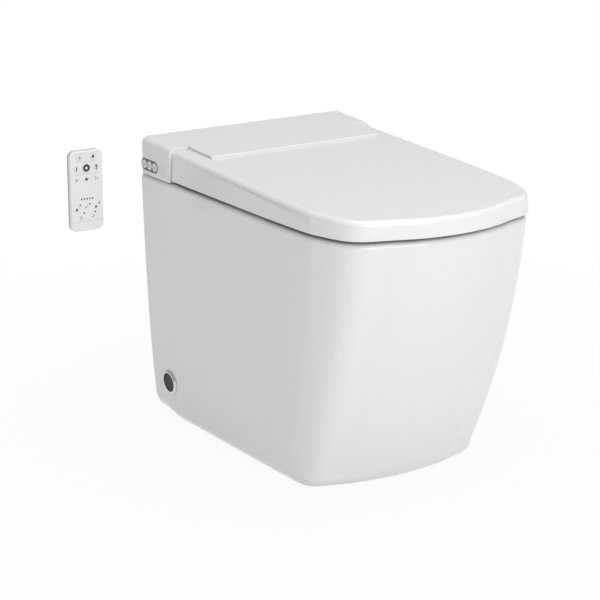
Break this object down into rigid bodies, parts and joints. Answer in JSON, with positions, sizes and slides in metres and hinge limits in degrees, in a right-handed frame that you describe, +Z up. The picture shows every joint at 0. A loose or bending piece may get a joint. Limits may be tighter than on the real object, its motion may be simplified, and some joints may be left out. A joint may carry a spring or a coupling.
{
  "type": "smart toilet",
  "caption": "Back-to-wall smart toilet with skirted ceramic pan, heated seat, soft-close lid, washing nozzle, side buttons and a wall handset.",
  "frame": {"origin": "on the centre line where the finished wall meets the floor", "axes": "+Z up, +Y into the wall, +X to the right of a viewer facing the toilet"},
  "size_m": [0.5155, 0.5999, 0.4699],
  "materials": {
    "glazed_white": "glossy glaze",
    "cover_white": "gloss",
    "lid_white": "gloss",
    "seat_white": "gloss",
    "trim_chrome": "polished",
    "gloss_black": "gloss",
    "panel_dark": "gloss",
    "button_white": "satin",
    "sensor_white": "translucent satin",
    "seal_rubber": "matt",
    "buffer_rubber": "matt",
    "steel": "bright",
    "galvanised": "zinc",
    "tray_plastic": "matt",
    "dark_plastic": "matt",
    "board_green": "solder mask",
    "nozzle_steel": "polished",
    "nozzle_white": "gloss",
    "gear_nylon": "natural nylon",
    "brass_body": "cast",
    "hose_clear": "silicone",
    "heater_foil": "foil",
    "holder_white": "matt",
    "remote_white": "satin",
    "remote_back": "satin",
    "key_white": "satin",
    "cell_metal": "sleeve"
  },
  "bodies": {
    "toilet": {"ceramic_pan": "glazed_white", "flush_adapter": "seal_rubber", "fixing_rings": "trim_chrome", "fixing_caps": "gloss_black", "set_screws": "steel", "floor_brackets": "galvanised", "deck_gasket": "seal_rubber", "unit_base": "tray_plastic", "unit_bolts": "steel", "unit_nuts": "tray_plastic", "rear_cover": "cover_white", "hinge_pins": "steel", "hinge_dampers": "dark_plastic", "button_panel": "panel_dark", "button_board": "board_green", "sensor_window": "sensor_white", "nozzle_guide": "dark_plastic", "nozzle_motor": "steel", "dryer_housing": "dark_plastic", "water_heater": "tray_plastic", "water_inlet_valve": "brass_body", "power_gland": "dark_plastic", "power_module": "galvanised", "control_board": "board_green", "wash_pump": "dark_plastic", "hoses": "hose_clear", "wall_holder": "holder_white"},
    "seat": {"seat_top": "seat_white", "seat_base": "seat_white", "seat_heater": "heater_foil", "seat_buffers": "buffer_rubber"},
    "lid": {"lid_shell": "lid_white", "lid_liner": "lid_white", "lid_buffers": "buffer_rubber"},
    "nozzle": {"nozzle_tube": "nozzle_steel", "nozzle_tip": "nozzle_white"},
    "gear": {"drive_gear": "gear_nylon"},
    "fan": {"dryer_fan": "dark_plastic"},
    "rear_button": {"button_rear": "button_white"},
    "middle_button": {"button_middle": "button_white"},
    "front_button": {"button_front": "button_white"},
    "remote": {"remote_back_shell": "remote_back", "remote_front_shell": "remote_white", "remote_board": "board_green", "remote_cells": "cell_metal"},
    "hatch": {"battery_hatch": "remote_back"},
    "flush_full_key": {"remote_key_flush_full": "key_white"},
    "flush_half_key": {"remote_key_flush_half": "key_white"},
    "stop_key": {"remote_key_stop": "key_white"},
    "left_key": {"remote_key_left": "key_white"},
    "right_key": {"remote_key_right": "key_white"}
  },
  "joints": [
    {"name": "seat_hinge", "type": "hinge", "parent": "toilet", "child": "seat", "pos_m": [0, -0.118, 0.446], "axis": [-1, 0, 0], "range_deg": [0, 95]},
    {"name": "lid_hinge", "type": "hinge", "parent": "seat", "child": "lid", "pos_m": [0, -0.118, 0.446], "axis": [1, 0, 0], "range_deg": [-100, 0]},
    {"name": "nozzle_slide", "type": "slide", "parent": "toilet", "child": "nozzle", "axis": [0, -0.9659, -0.2588], "range_m": [0, 0.092]},
    {"name": "gear_spin", "type": "hinge", "parent": "toilet", "child": "gear", "pos_m": [0, -0.14791, 0.44264], "axis": [-1, 0, 0], "range_deg": [0, 880]},
    {"name": "fan_spin", "type": "hinge", "parent": "toilet", "child": "fan", "pos_m": [0.054, -0.132, 0.42], "axis": [0, 0, 1], "continuous": true},
    {"name": "rear_button_press", "type": "slide", "parent": "toilet", "child": "rear_button", "axis": [1, 0, 0], "range_m": [0, 0.001], "stiffness_N_per_m": 400, "springref_m": -0.001},
    {"name": "middle_button_press", "type": "slide", "parent": "toilet", "child": "middle_button", "axis": [1, 0, 0], "range_m": [0, 0.001], "stiffness_N_per_m": 400, "springref_m": -0.001},
    {"name": "front_button_press", "type": "slide", "parent": "toilet", "child": "front_button", "axis": [1, 0, 0], "range_m": [0, 0.001], "stiffness_N_per_m": 400, "springref_m": -0.001},
    {"name": "remote_lift", "type": "slide", "parent": "toilet", "child": "remote", "axis": [0, 0, 1], "range_m": [0, 0.014]},
    {"name": "hatch_slide", "type": "slide", "parent": "remote", "child": "hatch", "axis": [0, 0, -1], "range_m": [0, 0.02]},
    {"name": "flush_full_key_press", "type": "slide", "parent": "remote", "child": "flush_full_key", "axis": [0, 1, 0], "range_m": [0, 0.0008], "stiffness_N_per_m": 300, "springref_m": -0.001},
    {"name": "flush_half_key_press", "type": "slide", "parent": "remote", "child": "flush_half_key", "axis": [0, 1, 0], "range_m": [0, 0.0008], "stiffness_N_per_m": 300, "springref_m": -0.001},
    {"name": "stop_key_press", "type": "slide", "parent": "remote", "child": "stop_key", "axis": [0, 1, 0], "range_m": [0, 0.0008], "stiffness_N_per_m": 300, "springref_m": -0.001},
    {"name": "left_key_press", "type": "slide", "parent": "remote", "child": "left_key", "axis": [0, 1, 0], "range_m": [0, 0.0008], "stiffness_N_per_m": 300, "springref_m": -0.001},
    {"name": "right_key_press", "type": "slide", "parent": "remote", "child": "right_key", "axis": [0, 1, 0], "range_m": [0, 0.0008], "stiffness_N_per_m": 300, "springref_m": -0.001}
  ],
  "couplings": [
    {"joint": "gear_spin", "follows": "nozzle_slide", "rad_per_m": 166.67}
  ]
}
